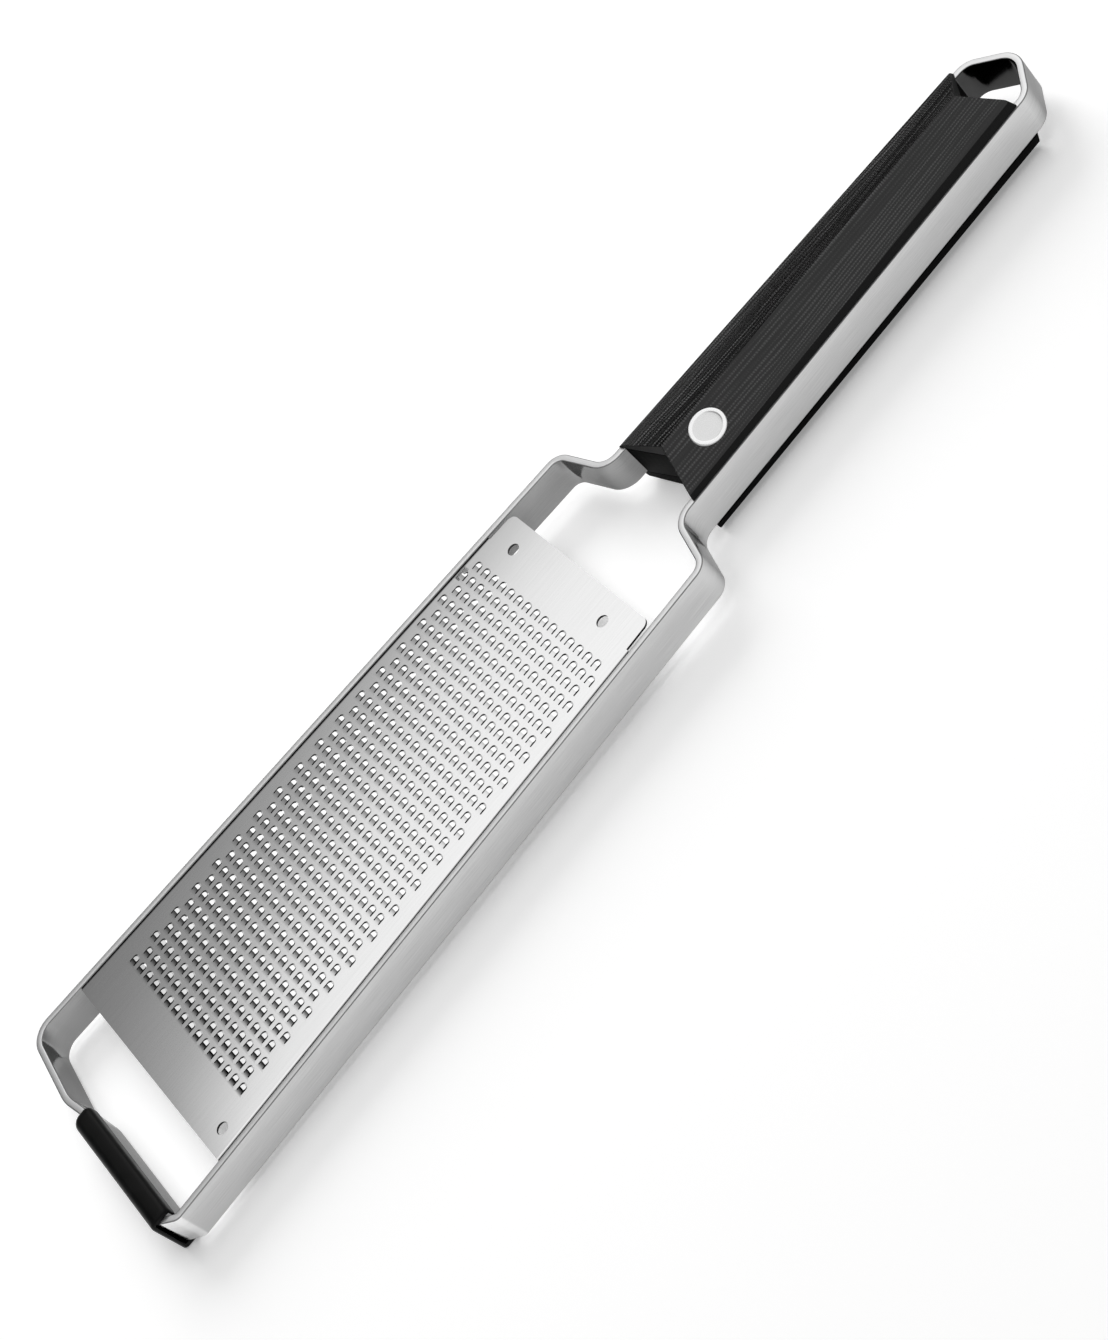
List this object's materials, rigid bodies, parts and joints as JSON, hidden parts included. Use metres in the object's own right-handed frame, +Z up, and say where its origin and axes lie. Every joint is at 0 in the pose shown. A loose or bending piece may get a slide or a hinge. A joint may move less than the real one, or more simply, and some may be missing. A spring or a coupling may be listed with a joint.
{
  "type": "cheese grater",
  "caption": "Flat hand-held cheese grater: toothed steel plate in a bent steel strip frame, black faceted handle, hanging loop and rubber foot.",
  "frame": {"origin": "on the table under the middle of the overall length, on the centre line of the frame", "axes": "+X from the tip with the rubber foot to the hanging loop, +Z up from the table, toothed face upwards"},
  "size_m": [0.3244, 0.0772, 0.0208],
  "materials": {
    "frame_steel": "brushed along the strip",
    "plate_steel": "smooth satin sheet",
    "handle_black": "black resin-filled laminate, satin, fine lengthwise fibres",
    "core_black": "black laminate",
    "foot_rubber": "soft sheen",
    "medallion_steel": "polished, bare face",
    "pin_steel": "plain"
  },
  "bodies": {
    "root": {"frame_strip": "frame_steel", "grating_plate": "plate_steel", "rubber_foot": "foot_rubber", "handle_core": "core_black", "upper_handle_scale": "handle_black", "lower_handle_scale": "handle_black", "handle_pin_front": "pin_steel", "handle_pin_rear": "pin_steel", "medallion": "medallion_steel"}
  },
  "joints": []
}
